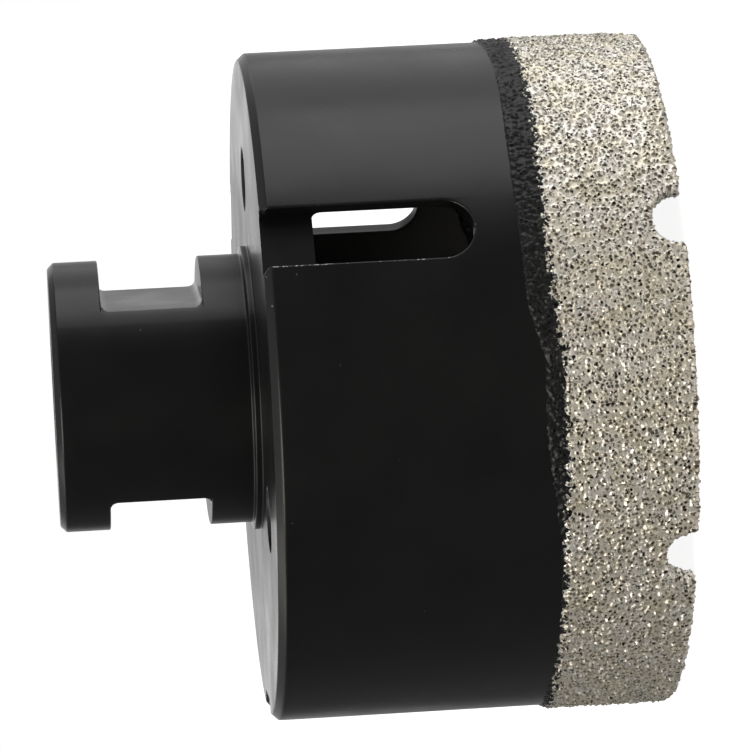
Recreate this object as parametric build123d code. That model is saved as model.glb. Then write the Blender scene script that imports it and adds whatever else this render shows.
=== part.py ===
from build123d import *
import os

# Diamond core bit: a cup-shaped drill for an angle grinder, 68 mm over its diamond coat.
# A turned arbor (threaded hub and back plate) is brazed into the end of a steel barrel, and a
# coat of diamond grit is brazed round the barrel's mouth. The bit is modelled standing on its
# mouth: +Z runs up its axis to the hub, the origin is the centre of the cutting edge, and the
# hub's two spanner flats face +X and -X. All lengths are in millimetres, all angles in degrees.

# Driving dimensions: the whole bit
CUT_DIAMETER = 68.0  # over the diamond coat
CUP_HEIGHT = 40.0  # cutting edge to the back plate's outer face
HUB_HEIGHT = 20.0  # back plate to the hub's end
COAT_THICKNESS = 0.5
BARREL_WALL = 1.5

# Barrel and its coat
SHOULDER_CHAMFER = 0.7
COAT_HEIGHT = 15.0  # of the grit up the barrel, inside and outside
COAT_FEATHER = 0.35  # chamfer where the braze thins out at the coat's upper end
EDGE_CHAMFER = 0.5  # easing of the coat at the cutting edge
GULLET_RADIUS = 3.0  # half-round notches ground into the steel edge
GULLET_ANGLES = (0.0, 60.0, 120.0, 180.0, 242.3, 300.0)  # the fifth is ground a little late
BARREL_TURN = 2.5  # the barrel's features stand this far round from the hub's flats

# Slots through the barrel that clear the core, milled on into the back plate's rim
SLOT_ANGLES = (60.0, 180.0, 300.0)
SLOT_WIDTH = 6.0
SLOT_LENGTH = 20.0  # from the back plate's outer face to the round end
SLOT_DEPTH = 2.3  # below the barrel's outside, measured at the slot's centre

# Arbor
PLATE_THICKNESS = 5.0
HUB_DIAMETER = 27.0
HUB_CHAMFER = 0.6
HUB_FILLET = 0.8  # where the hub meets the back plate
VENT_DIAMETER = 6.0
VENT_CIRCLE = 42.0  # pitch circle of the vents
VENT_ANGLES = (0.0, 120.0, 240.0)
VENT_CHAMFER = 0.3
FLATS_ACROSS = 19.0
FLATS_HEIGHT = 10.0
FLATS_CORNER = 0.8  # the milling cutter's corner radius
LAND_HEIGHT = 5.0  # round land above and below the flats
THREAD_BORE = 12.0  # hole drilled for an M14 x 2 thread
THREAD_MAJOR = 14.2  # countersinks open the hole just past the thread's outside

# Derived sizes
coat_radius = CUT_DIAMETER / 2
barrel_radius = coat_radius - COAT_THICKNESS
bore_radius = barrel_radius - BARREL_WALL
steel_edge = COAT_THICKNESS
plate_underside = CUP_HEIGHT - PLATE_THICKNESS
hub_top = CUP_HEIGHT + HUB_HEIGHT
hub_radius = HUB_DIAMETER / 2
thread_radius = THREAD_BORE / 2
countersink_radius = THREAD_MAJOR / 2
countersink_depth = countersink_radius - thread_radius
slot_floor = barrel_radius - SLOT_DEPTH
CLEAR = 2.0  # how far a cutter runs past the surface that it breaks through


def turned(outline):
    """A solid of revolution about Z from a closed outline of (radius, height) points."""
    return revolve(Plane.XZ * make_face(outline), Axis.Z)


def slot_cutters():
    """Round-ended milling cuts, run in from the back plate's face and sunk radially."""
    end_centre = CUP_HEIGHT - SLOT_LENGTH + SLOT_WIDTH / 2
    run = CUP_HEIGHT + CLEAR - end_centre
    # In the plane x = slot_floor the sketch's first axis is +Y and its second is +Z.
    outline = Pos(0, end_centre) * Circle(SLOT_WIDTH / 2)
    outline += Pos(0, end_centre + run / 2) * Rectangle(SLOT_WIDTH, run)
    cutter = extrude(Plane.YZ.offset(slot_floor) * outline, SLOT_DEPTH + CLEAR)
    return [Rot(0, 0, angle + BARREL_TURN) * cutter for angle in SLOT_ANGLES]


def gullet_cutters(radius):
    """Half-round notches centred on the steel edge, open downwards to below the coat."""
    below = steel_edge + CLEAR
    outline = Pos(0, steel_edge) * Circle(radius)
    outline += Pos(0, steel_edge - below / 2) * Rectangle(2 * radius, below)
    start = bore_radius - COAT_THICKNESS - CLEAR
    cutter = extrude(Plane.YZ.offset(start) * outline, coat_radius + CLEAR - start)
    return [Rot(0, 0, angle + BARREL_TURN) * cutter for angle in GULLET_ANGLES]


def make_barrel():
    """Steel tube, flush with the back plate, with its shoulder chamfered."""
    outline = Polyline(
        (bore_radius, steel_edge),
        (barrel_radius, steel_edge),
        (barrel_radius, CUP_HEIGHT - SHOULDER_CHAMFER),
        (barrel_radius - SHOULDER_CHAMFER, CUP_HEIGHT),
        (bore_radius, CUP_HEIGHT),
        close=True,
    )
    return turned(outline) - slot_cutters() - gullet_cutters(GULLET_RADIUS)


def make_diamond_coat(barrel):
    """Even layer of brazed grit: outside, inside, under the edge and through the gullets."""
    inner_radius = bore_radius - COAT_THICKNESS
    outline = Polyline(
        (inner_radius, 0),
        (coat_radius, 0),
        (coat_radius, COAT_HEIGHT - COAT_FEATHER),
        (coat_radius - COAT_FEATHER, COAT_HEIGHT),
        (inner_radius + COAT_FEATHER, COAT_HEIGHT),
        (inner_radius, COAT_HEIGHT - COAT_FEATHER),
        close=True,
    )
    section = make_face(outline)
    section = chamfer(section.vertices().group_by(Axis.Y)[0], EDGE_CHAMFER)
    ring = revolve(Plane.XZ * section, Axis.Z)
    return ring - gullet_cutters(GULLET_RADIUS - COAT_THICKNESS) - barrel


def make_arbor():
    """Hub and back plate turned as one, with bore, flats, vents and the slots' ends."""
    outline = Polyline(
        (countersink_radius, plate_underside),
        (bore_radius, plate_underside),
        (bore_radius, CUP_HEIGHT),
        (hub_radius, CUP_HEIGHT),
        (hub_radius, hub_top - HUB_CHAMFER),
        (hub_radius - HUB_CHAMFER, hub_top),
        (countersink_radius, hub_top),
        (thread_radius, hub_top - countersink_depth),
        (thread_radius, plate_underside + countersink_depth),
        close=True,
    )
    section = make_face(outline)
    hub_base = section.vertices().sort_by_distance((hub_radius, CUP_HEIGHT))[0]
    section = fillet(hub_base, HUB_FILLET)
    arbor = revolve(Plane.XZ * section, Axis.Z)
    return arbor - flats_cutters() - vent_cutters() - slot_cutters()


def flats_cutters():
    """The two milled grooves whose floors are the spanner flats."""
    width = hub_radius + CLEAR - FLATS_ACROSS / 2
    outline = Rectangle(width, FLATS_HEIGHT)
    outline = fillet(outline.vertices().group_by(Axis.X)[0], FLATS_CORNER)
    centre = (FLATS_ACROSS / 2 + width / 2, CUP_HEIGHT + LAND_HEIGHT + FLATS_HEIGHT / 2)
    groove = extrude(Plane.XZ * Pos(*centre) * outline, HUB_DIAMETER / 2, both=True)
    return [groove, Rot(0, 0, 180) * groove]


def vent_cutters():
    """Vents through the back plate, each a drill with a small countersink at both faces."""
    radius = VENT_DIAMETER / 2
    outline = Polyline(
        (0, plate_underside - CLEAR),
        (radius + VENT_CHAMFER + CLEAR, plate_underside - CLEAR),
        (radius, plate_underside + VENT_CHAMFER),
        (radius, CUP_HEIGHT - VENT_CHAMFER),
        (radius + VENT_CHAMFER + CLEAR, CUP_HEIGHT + CLEAR),
        (0, CUP_HEIGHT + CLEAR),
        close=True,
    )
    drill = turned(outline)
    return [Rot(0, 0, angle) * Pos(VENT_CIRCLE / 2, 0, 0) * drill for angle in VENT_ANGLES]


barrel = make_barrel()
nodes = {
    "arbor": make_arbor(),
    "barrel": barrel,
    "diamond_coat": make_diamond_coat(barrel),
}

os.makedirs("parts", exist_ok=True)
for name, shape in nodes.items():
    export_step(shape, f"parts/{name}.step")
    print(name, round(shape.volume, 1), shape.bounding_box().size)
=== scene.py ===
"""Looks, light and camera for the diamond core bit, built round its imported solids.

The bit stands on its mouth: +Z runs up its axis to the hub and the hub's spanner flats face
+X and -X. Sizes are named in millimetres and turned to metres where a mesh is written.
"""

import logging
import math
from dataclasses import dataclass
from enum import Enum
from functools import partial

import bmesh
import bpy
import numpy as np
from mathutils import Matrix, Vector

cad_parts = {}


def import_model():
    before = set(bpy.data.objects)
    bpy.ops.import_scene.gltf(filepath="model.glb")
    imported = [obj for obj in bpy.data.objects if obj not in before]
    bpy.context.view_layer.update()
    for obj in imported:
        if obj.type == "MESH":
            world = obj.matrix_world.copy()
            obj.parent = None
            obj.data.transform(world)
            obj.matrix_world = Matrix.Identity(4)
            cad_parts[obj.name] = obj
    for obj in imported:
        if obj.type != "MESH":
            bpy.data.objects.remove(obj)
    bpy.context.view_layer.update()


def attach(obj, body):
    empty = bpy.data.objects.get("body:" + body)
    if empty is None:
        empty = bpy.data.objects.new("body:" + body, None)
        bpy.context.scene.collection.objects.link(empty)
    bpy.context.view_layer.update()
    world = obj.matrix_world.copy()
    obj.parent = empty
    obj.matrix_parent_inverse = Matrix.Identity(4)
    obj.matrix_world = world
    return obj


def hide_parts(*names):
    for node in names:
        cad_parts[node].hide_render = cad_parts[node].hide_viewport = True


MM = 0.001
BODY = "root"
SHARE, UNDER, OVER, MIXED = 0, 6, 7, 2  # a colour mix's three inputs and its output

log = logging.getLogger("core_bit")


# ---------------------------------------------------------------- colour and node helpers


def linear(hex_colour: str) -> tuple[float, float, float, float]:
    """Turn an sRGB hex colour into linear light.

    Args:
        hex_colour: six hex digits, with or without a leading '#'.

    Returns:
        Linear red, green and blue, and 1 for opaque.
    """
    digits = hex_colour.lstrip("#")
    srgb = [int(digits[i : i + 2], 16) / 255 for i in (0, 2, 4)]
    red, green, blue = (
        c / 12.92 if c <= 0.04045 else ((c + 0.055) / 1.055) ** 2.4 for c in srgb
    )
    return red, green, blue, 1.0


def add_node(
    tree: bpy.types.NodeTree, kind: str, inputs: dict | None = None, **settings: object
) -> bpy.types.Node:
    """Add one shader node, with its settings and its inputs.

    Args:
        tree: the node tree that the node joins.
        kind: the node's type, such as "ShaderNodeMix".
        inputs: for each input, by name or index, a constant or the socket that drives it.
        **settings: the node's own properties.

    Returns:
        The new node.
    """
    node = tree.nodes.new(kind)
    for name, value in settings.items():
        setattr(node, name, value)
    for key, value in (inputs or {}).items():
        if isinstance(value, bpy.types.NodeSocket):
            tree.links.new(value, node.inputs[key])
        else:
            node.inputs[key].default_value = value
    return node


def new_material(name: str) -> tuple[bpy.types.Material, bpy.types.NodeTree]:
    """Make an empty node material.

    Args:
        name: the material's name.

    Returns:
        The material and its cleared node tree.
    """
    material = bpy.data.materials.new(name)
    material.use_nodes = True
    material.node_tree.nodes.clear()
    return material, material.node_tree


# ---------------------------------------------------------------- finishes


class Cell(Enum):
    """What a cellular pattern on the surface stands for, by the spacing of its cells in mm."""

    GRAIN = 0.42  # one diamond, of 40/50 mesh
    FACET = 0.17  # a diamond's broken faces and the alloy's skin
    DUST = 2.6  # a grinding speck on the coating


@dataclass(frozen=True)
class Chip:
    """A spot where the coating is knocked off to the steel. Degrees and millimetres."""

    angle: float
    radius: float
    height: float
    across: float

    def place(self) -> tuple[float, float, float]:
        """The spot's middle as x, y, z in millimetres."""
        around = math.radians(self.angle)
        return self.radius * math.cos(around), self.radius * math.sin(around), self.height


@dataclass(frozen=True)
class BlackCoating:
    """Cathodic dip paint on turned steel.

    The bath leaves it thin and even, so that it is black and satin with a hard, clear
    reflection, and turning marks don't show. It is rubbed through along the slots' edges,
    chipped in a few spots, and sprinkled with grinding specks. There the bare steel shines.
    """

    colour: str = "#070808"
    steel: str = "#8e9090"
    smoothest: float = 0.27
    roughest: float = 0.34
    ior: float = 1.46
    peel: float = 0.9  # spacing of the paint's slight ripple, in mm
    peel_depth: float = 0.0013  # its depth, in mm
    cloud: float = 7.0  # spacing of its duller patches, in mm
    cloud_low: float = 0.35  # the part of the patches' noise that the gloss follows
    cloud_high: float = 0.65
    speck: float = 0.055  # radius of a grinding speck, in mm, drawn as large as it needs to show
    speckless: float = 0.55  # share of the cells without one
    rub_grain: float = 0.22  # spacing of the spots where edges are rubbed bare, in mm
    rub: float = 0.50  # the higher, the more of a rubbed edge is bare
    chips: tuple[Chip, ...] = (
        Chip(-69.3, 33.25, 39.45, 0.20),
        Chip(-64.2, 32.95, 39.75, 0.16),
        Chip(-104.8, 33.5, 38.6, 0.14),
        Chip(-60.3, 29.75, 40.0, 0.22),
        Chip(-64.3, 33.5, 37.0, 0.14),
        Chip(-79.4, 33.5, 33.5, 0.14),
    )

    def build(self) -> bpy.types.Material:
        """Make the coating's material.

        Returns:
            The material.
        """
        material, tree = new_material("black_dip_coating")
        add = partial(add_node, tree)
        metres = add("ShaderNodeTexCoord").outputs["Object"]
        scaled = add("ShaderNodeVectorMath", {0: metres, "Scale": 1 / MM}, operation="SCALE")
        place = scaled.outputs["Vector"]
        ripple = add("ShaderNodeTexNoise", {"Vector": place, "Scale": 1 / self.peel, "Detail": 3.0})
        patches = add("ShaderNodeTexNoise", {"Vector": place, "Scale": 1 / self.cloud, "Detail": 4.0})
        dull = add(
            "ShaderNodeMapRange",
            {
                "Value": patches.outputs["Fac"],
                "From Min": self.cloud_low,
                "From Max": self.cloud_high,
                "To Min": self.smoothest,
                "To Max": self.roughest,
            },
        )
        bare = self.bare_steel(tree, place, ripple.outputs["Fac"])
        colour = add(
            "ShaderNodeMix",
            {SHARE: bare, UNDER: linear(self.colour), OVER: linear(self.steel)},
            data_type="RGBA",
        )
        bump = add(
            "ShaderNodeBump",
            {"Strength": 1.0, "Distance": self.peel_depth * MM, "Height": ripple.outputs["Fac"]},
        )
        shader = add(
            "ShaderNodeBsdfPrincipled",
            {
                "Base Color": colour.outputs[MIXED],
                "Metallic": bare,
                "Roughness": dull.outputs[0],
                "IOR": self.ior,
                "Normal": bump.outputs["Normal"],
            },
        )
        add("ShaderNodeOutputMaterial", {"Surface": shader.outputs["BSDF"]})
        return material

    def bare_steel(
        self, tree: bpy.types.NodeTree, place: bpy.types.NodeSocket, ripple: bpy.types.NodeSocket
    ) -> bpy.types.NodeSocket:
        """Find where the steel shows: 1 on specks, rubbed edges and chips, and 0 elsewhere.

        Args:
            tree: the material's node tree.
            place: the place on the piece, in millimetres.
            ripple: a noise that makes the chips ragged.

        Returns:
            The socket that tells it.
        """
        add = partial(add_node, tree)
        dust = add("ShaderNodeTexVoronoi", {"Vector": place, "Scale": 1 / Cell.DUST.value})
        rare = add("ShaderNodeSeparateColor", {0: dust.outputs["Color"]})
        reach = add(
            "ShaderNodeMapRange",
            {
                "Value": rare.outputs["Red"],
                "From Min": self.speckless,
                "To Max": self.speck / Cell.DUST.value,
            },
        )
        speck = add(
            "ShaderNodeMath", {0: dust.outputs["Distance"], 1: reach.outputs[0]}, operation="LESS_THAN"
        )
        edge = add("ShaderNodeAttribute", attribute_name="edge")
        limit = add("ShaderNodeMath", {0: edge.outputs["Fac"], 1: self.rub}, operation="MULTIPLY")
        grain = add("ShaderNodeTexNoise", {"Vector": place, "Scale": 1 / self.rub_grain})
        rubbed = add(
            "ShaderNodeMath", {0: grain.outputs["Fac"], 1: limit.outputs[0]}, operation="LESS_THAN"
        )
        bare = add("ShaderNodeMath", {0: speck.outputs[0], 1: rubbed.outputs[0]}, operation="MAXIMUM")
        for chip in self.chips:
            away = add("ShaderNodeVectorMath", {0: place, 1: chip.place()}, operation="DISTANCE")
            ragged = add(
                "ShaderNodeMath",
                {0: ripple, 1: -chip.across, 2: away.outputs["Value"]},
                operation="MULTIPLY_ADD",
            )
            knocked = add("ShaderNodeMath", {0: ragged.outputs[0], 1: 0.0}, operation="LESS_THAN")
            bare = add(
                "ShaderNodeMath", {0: bare.outputs[0], 1: knocked.outputs[0]}, operation="MAXIMUM"
            )
        return bare.outputs[0]


@dataclass(frozen=True)
class NickelBraze:
    """Nickel alloy melted in a vacuum furnace over a layer of diamond grit.

    The melt leaves it pale, slightly straw-coloured and softly shining. Its colour carries a
    painted highlight on the ridges between grains and painted shade beside them. Bare grains
    are darker and glassy, each facet with a tone of its own, and the hollow where a grain has
    chipped is painted nearly black as shade.
    Near the barrel the black coating runs over all of them.
    """

    metal: str = "#fffbf3"
    tarnish: str = "#faf2df"
    # painted shade: the alloy's colour beside the ridges between grains
    painted_shade_metal: str = "#a0967f"
    grain_dark: str = "#0e0d09"
    grain_pale: str = "#877f6c"
    # painted shade: the near-black colour of a hollow where a grain has chipped
    shaded_pit: str = "#0b0a07"
    coating: BlackCoating = BlackCoating()
    stain: float = 2.5  # spacing of the alloy's straw-coloured patches, in mm
    stain_low: float = 0.38  # the part of the patches' noise that the colour follows
    stain_high: float = 0.66
    ridge_highlight: float = 0.08  # half-width of the painted highlight on the alloy's ridges between the grains, in mm
    ridge_highlight_core: float = 0.25  # share of that which is fully bright
    roughness: float = 0.45
    grain_roughness: float = 0.30
    facet_share: float = 0.6  # share of a grain's tone that changes from facet to facet
    unchipped: float = 0.3  # share of the grains without a hollow
    pit_radius: float = 0.155  # of the widest hollow, in mm
    jag: float = 0.08  # how far the outlines of grains and hollows are broken, in mm
    rim: float = 0.03  # softness of their outlines, in mm
    relief: float = 0.05  # how far a grain's rim stands up in the bump, in mm
    pit_relief: float = -1.5  # a hollow's depth against that
    facet_relief: float = 0.35  # a facet's height against that
    clean_shine: float = 0.5  # level of reflection of a clean surface
    # a hollow's reflection, turned down as painted shade
    shaded_pit_shine: float = 0.05
    paint_shine: float = 0.4
    paint_roughness: float = 0.35  # where the coating lies thick over the grains
    under_paint: float = 0.4  # share of the relief that shows through the coating
    run_grain: float = 0.9  # how far the coating's line wanders from grain to grain, in mm
    run_facet: float = 0.3  # and from facet to facet
    run_low: float = 0.55  # where it starts above the line, in mm, and where it covers all
    run_high: float = 0.65

    def build(self, grains: "Grains") -> bpy.types.Material:
        """Make the braze's material.

        The patterns are read at the point of the steel under the surface, from the attribute
        "seat", so that they don't smear over the relief. The cells of the grains are those
        that the mesh has its grains from.

        Args:
            grains: the sizes of the grains, which the mesh has too.

        Returns:
            The material.
        """
        material, tree = new_material("nickel_braze_with_diamond")
        add = partial(add_node, tree)
        seat = add("ShaderNodeAttribute", attribute_name="seat").outputs["Vector"]
        grain = add("ShaderNodeTexVoronoi", {"Vector": seat, "Scale": 1 / Cell.GRAIN.value})
        facet = add("ShaderNodeTexVoronoi", {"Vector": seat, "Scale": 1 / Cell.FACET.value})
        chance = add("ShaderNodeSeparateColor", {0: grain.outputs["Color"]})
        tone = add("ShaderNodeSeparateColor", {0: facet.outputs["Color"]}).outputs["Green"]

        across = Cell.GRAIN.value
        half = add(
            "ShaderNodeMapRange",
            {
                "Value": chance.outputs["Red"],
                "To Min": grains.smallest / across,
                "To Max": grains.largest / across,
            },
        )
        inside = add(
            "ShaderNodeMath", {0: half.outputs[0], 1: grain.outputs["Distance"]}, operation="SUBTRACT"
        )
        jagged = add(
            "ShaderNodeMapRange",
            {"Value": tone, "To Min": -self.jag / across, "To Max": self.jag / across},
        ).outputs[0]
        outline = add("ShaderNodeMath", {0: inside.outputs[0], 1: jagged}, operation="ADD")
        stone = add("ShaderNodeMapRange", {"Value": outline.outputs[0], "From Max": self.rim / across})
        shaded_pit = self.hollows(tree, grain.outputs["Distance"], chance.outputs["Blue"], jagged)
        paint = self.painted(tree, chance.outputs["Blue"], tone)

        own = add(
            "ShaderNodeMath",
            {0: chance.outputs["Green"], 1: 1 - self.facet_share},
            operation="MULTIPLY",
        )
        shade = add(
            "ShaderNodeMath", {0: tone, 1: self.facet_share, 2: own.outputs[0]}, operation="MULTIPLY_ADD"
        )
        diamond = add(
            "ShaderNodeMix",
            {SHARE: shade.outputs[0], UNDER: linear(self.grain_dark), OVER: linear(self.grain_pale)},
            data_type="RGBA",
        )
        colour = self.alloy(tree, seat, tone)
        layers = (
            (stone.outputs[0], diamond.outputs[MIXED]),
            # painted shade in the hollows
            (shaded_pit, linear(self.shaded_pit)),
            (paint, linear(self.coating.colour)),
        )
        for share, over in layers:
            mixed = add("ShaderNodeMix", {SHARE: share, UNDER: colour, OVER: over}, data_type="RGBA")
            colour = mixed.outputs[MIXED]

        dark = add("ShaderNodeMath", {0: stone.outputs[0], 1: shaded_pit}, operation="MAXIMUM")
        covered = add("ShaderNodeMath", {0: dark.outputs[0], 1: paint}, operation="MAXIMUM")
        metallic = add("ShaderNodeMath", {0: 1.0, 1: covered.outputs[0]}, operation="SUBTRACT")
        gloss = add(
            "ShaderNodeMapRange",
            {"Value": dark.outputs[0], "To Min": self.roughness, "To Max": self.grain_roughness},
        )
        gloss = add(
            "ShaderNodeMapRange",
            {"Value": paint, "To Min": gloss.outputs[0], "To Max": self.paint_roughness},
        )
        shine = add(
            "ShaderNodeMapRange", {"Value": paint, "To Min": self.clean_shine, "To Max": self.paint_shine}
        )
        # In the hollows the reflection is turned down as painted shade.
        shine = add(
            "ShaderNodeMapRange", {"Value": shaded_pit, "To Min": shine.outputs[0], "To Max": self.shaded_pit_shine}
        )
        shader = add(
            "ShaderNodeBsdfPrincipled",
            {
                "Base Color": colour,
                "Metallic": metallic.outputs[0],
                "Roughness": gloss.outputs[0],
                "Specular IOR Level": shine.outputs[0],
                "Normal": self.bumps(tree, stone.outputs[0], shaded_pit, tone, paint),
            },
        )
        add("ShaderNodeOutputMaterial", {"Surface": shader.outputs["BSDF"]})
        return material

    def hollows(
        self,
        tree: bpy.types.NodeTree,
        distance: bpy.types.NodeSocket,
        chance: bpy.types.NodeSocket,
        jagged: bpy.types.NodeSocket,
    ) -> bpy.types.NodeSocket:
        """Find the hollows where grains have chipped, each in the middle of its grain; their near-black
        colour is painted shade.

        Args:
            tree: the material's node tree.
            distance: how far it is from the grain's middle, in cells.
            chance: a random number for each grain.
            jagged: how far outlines are broken outwards there, in cells.

        Returns:
            A socket that is 1 in a hollow and 0 elsewhere.
        """
        across = Cell.GRAIN.value
        add = partial(add_node, tree)
        half = add(
            "ShaderNodeMapRange",
            {"Value": chance, "From Min": self.unchipped, "To Max": self.pit_radius / across},
        )
        depth = add("ShaderNodeMath", {0: half.outputs[0], 1: distance}, operation="SUBTRACT")
        broken = add("ShaderNodeMath", {0: depth.outputs[0], 1: jagged}, operation="ADD")
        hollow = add("ShaderNodeMapRange", {"Value": broken.outputs[0], "From Max": self.rim / across})
        return hollow.outputs[0]

    def painted(
        self, tree: bpy.types.NodeTree, chance: bpy.types.NodeSocket, tone: bpy.types.NodeSocket
    ) -> bpy.types.NodeSocket:
        """Find where the black coating covers the grit: above a line that the grains make ragged.

        Args:
            tree: the material's node tree.
            chance: a random number for each grain.
            tone: a random number for each facet.

        Returns:
            A socket that is 1 under the coating and 0 elsewhere.
        """
        add = partial(add_node, tree)
        above = add("ShaderNodeAttribute", attribute_name="above_line")
        line = add(
            "ShaderNodeMath",
            {0: chance, 1: self.run_grain, 2: above.outputs["Fac"]},
            operation="MULTIPLY_ADD",
        )
        line = add(
            "ShaderNodeMath", {0: tone, 1: self.run_facet, 2: line.outputs[0]}, operation="MULTIPLY_ADD"
        )
        cover = add(
            "ShaderNodeMapRange",
            {"Value": line.outputs[0], "From Min": self.run_low, "From Max": self.run_high},
        )
        return cover.outputs[0]

    def alloy(
        self, tree: bpy.types.NodeTree, seat: bpy.types.NodeSocket, tone: bpy.types.NodeSocket
    ) -> bpy.types.NodeSocket:
        """Colour the alloy: straw-coloured in patches, with a painted highlight on the ridges and painted
        shade beside them.

        Args:
            tree: the material's node tree.
            seat: the place under the surface, in millimetres.
            tone: a random number for each facet.

        Returns:
            The colour.
        """
        add = partial(add_node, tree)
        stain = add("ShaderNodeTexNoise", {"Vector": seat, "Scale": 1 / self.stain, "Detail": 4.0})
        stained = add(
            "ShaderNodeMapRange",
            {"Value": stain.outputs["Fac"], "From Min": self.stain_low, "From Max": self.stain_high},
        )
        colour = add(
            "ShaderNodeMix",
            {SHARE: stained.outputs[0], UNDER: linear(self.metal), OVER: linear(self.tarnish)},
            data_type="RGBA",
        )
        # The ridges between grains get a painted highlight, and the alloy beside them painted shade, more on
        # some facets than others.
        between = add(
            "ShaderNodeTexVoronoi",
            {"Vector": seat, "Scale": 1 / Cell.GRAIN.value},
            feature="DISTANCE_TO_EDGE",
        )
        away = add(
            "ShaderNodeMapRange",
            {
                "Value": between.outputs["Distance"],
                "From Min": self.ridge_highlight_core * self.ridge_highlight / Cell.GRAIN.value,
                "From Max": self.ridge_highlight / Cell.GRAIN.value,
            },
        )
        dull = add("ShaderNodeMath", {0: away.outputs[0], 1: tone}, operation="MULTIPLY")
        colour = add(
            "ShaderNodeMix",
            {SHARE: dull.outputs[0], UNDER: colour.outputs[MIXED], OVER: linear(self.painted_shade_metal)},
            data_type="RGBA",
        )
        return colour.outputs[MIXED]

    def bumps(
        self,
        tree: bpy.types.NodeTree,
        stone: bpy.types.NodeSocket,
        shaded_pit: bpy.types.NodeSocket,
        tone: bpy.types.NodeSocket,
        paint: bpy.types.NodeSocket,
    ) -> bpy.types.NodeSocket:
        """Raise the grains' rims and facets and sink the hollows, less under the coating.

        Args:
            tree: the material's node tree.
            stone: 1 on a grain.
            shaded_pit: 1 in a hollow.
            tone: a random number for each facet.
            paint: 1 under the coating.

        Returns:
            The normal.
        """
        add = partial(add_node, tree)
        lump = add("ShaderNodeMath", {0: shaded_pit, 1: self.pit_relief, 2: stone}, operation="MULTIPLY_ADD")
        lump = add(
            "ShaderNodeMath", {0: tone, 1: self.facet_relief, 2: lump.outputs[0]}, operation="MULTIPLY_ADD"
        )
        share = add("ShaderNodeMapRange", {"Value": paint, "To Min": 1.0, "To Max": self.under_paint})
        height = add("ShaderNodeMath", {0: lump.outputs[0], 1: share.outputs[0]}, operation="MULTIPLY")
        bump = add(
            "ShaderNodeBump",
            {"Strength": 1.0, "Distance": self.relief * MM, "Height": height.outputs[0]},
        )
        return bump.outputs["Normal"]


# ---------------------------------------------------------------- numpy surfaces


def smoothstep(low: float, high: float, value: np.ndarray) -> np.ndarray:
    """Rise from 0 at low to 1 at high along 3t^2 - 2t^3."""
    t = np.clip((value - low) / (high - low), 0.0, 1.0)
    return t * t * (3.0 - 2.0 * t)


def eased(distance: np.ndarray, radius: float) -> np.ndarray:
    """How far a rounded edge falls back at a distance in from it: a quarter circle."""
    inside = np.clip(radius - distance, 0.0, radius)
    return radius - np.sqrt(radius**2 - inside**2)


def edge_steps(radius: float, count: int = 4) -> np.ndarray:
    """Distances in from an edge that step evenly round its quarter circle, from 0 to radius."""
    return radius * (1.0 - np.sin(np.linspace(math.pi / 2, 0.0, count + 1)))


def soft_min(first: np.ndarray, second: np.ndarray, width: float) -> np.ndarray:
    """The lesser of two surfaces, with the corner between them rounded over a width."""
    return (first + second - np.sqrt((first - second) ** 2 + width**2)) / 2


def round_corners(profile: list[tuple[float, float]], radius: float, count: int = 4) -> np.ndarray:
    """Round the inner corners of a (radius, height) polyline.

    Each corner becomes a parabola whose ends lie a short way along its two sides.

    Args:
        profile: the polyline's points.
        radius: how far along each side the rounding starts, at most 0.45 of the side.
        count: steps in each corner.

    Returns:
        Points x 2.
    """
    points = np.array(profile, dtype=float)
    rounded = [points[:1]]
    step = np.linspace(0.0, 1.0, count + 1)[:, None]
    for before, corner, after in zip(points[:-2], points[1:-1], points[2:]):
        back, ahead = before - corner, after - corner
        start = corner + back * min(0.45, radius / np.linalg.norm(back))
        end = corner + ahead * min(0.45, radius / np.linalg.norm(ahead))
        rounded.append((1 - step) ** 2 * start + 2 * step * (1 - step) * corner + step**2 * end)
    rounded.append(points[-1:])
    return np.concatenate(rounded)


def subdivide(profile: np.ndarray, longest: float) -> np.ndarray:
    """Add evenly spaced points to a polyline's sides so that no step is longer than a limit.

    Args:
        profile: the polyline, points x 2.
        longest: the limit.

    Returns:
        Points x 2.
    """
    parts = []
    for start, end in zip(profile[:-1], profile[1:]):
        count = max(1, math.ceil(np.linalg.norm(end - start) / longest))
        parts.append(start + (end - start) * np.arange(count)[:, None] / count)
    return np.concatenate([*parts, profile[-1:]])


def fill_between(kept: np.ndarray, plain: np.ndarray, gap: float) -> np.ndarray:
    """Join two sorted sets of columns, without the plain ones that crowd a kept one."""
    clear = np.abs(plain[:, None] - kept[None]).min(axis=1) > gap
    return np.unique(np.concatenate([kept, plain[clear]]))


def compass(degrees: tuple[float, ...], turn: float) -> list[float]:
    """Compass angles in radians of stations in degrees, all turned further by some degrees."""
    return [math.radians(angle + turn) for angle in degrees]


def stretches(stations: list[float]) -> list[tuple[float, float]]:
    """Each station's compass angle with the next one's, and the last with the first's."""
    return list(zip(stations, [*stations[1:], stations[0] + 2 * math.pi]))


def off_station(angle: np.ndarray, station: float) -> np.ndarray:
    """Signed angle from a station to each compass angle, from -pi to pi."""
    return (angle - station + math.pi) % (2 * math.pi) - math.pi


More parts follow.
